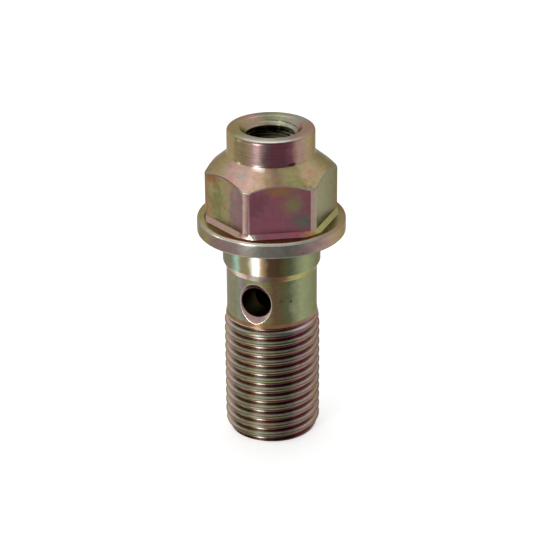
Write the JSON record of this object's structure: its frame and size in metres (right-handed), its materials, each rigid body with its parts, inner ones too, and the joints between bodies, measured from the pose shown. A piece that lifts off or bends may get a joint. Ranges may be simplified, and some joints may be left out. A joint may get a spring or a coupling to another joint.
{
  "type": "oil drain screw",
  "caption": "Hollow flanged hex screw with a cross hole and a tapped port in its head, for draining oil through a ring fitting held under its flange.",
  "frame": {"origin": "centre of the flange's bearing face", "axes": "+Z along the screw's axis towards the head, +Y along the cross hole and through two corners of the hexagon"},
  "size_m": [0.0214, 0.0214, 0.0475],
  "materials": {
    "yellow_zinc_steel": "turned and forged steel with iridescent yellow chromated zinc plate"
  },
  "bodies": {
    "root": {"drain_screw": "yellow_zinc_steel"}
  },
  "joints": []
}
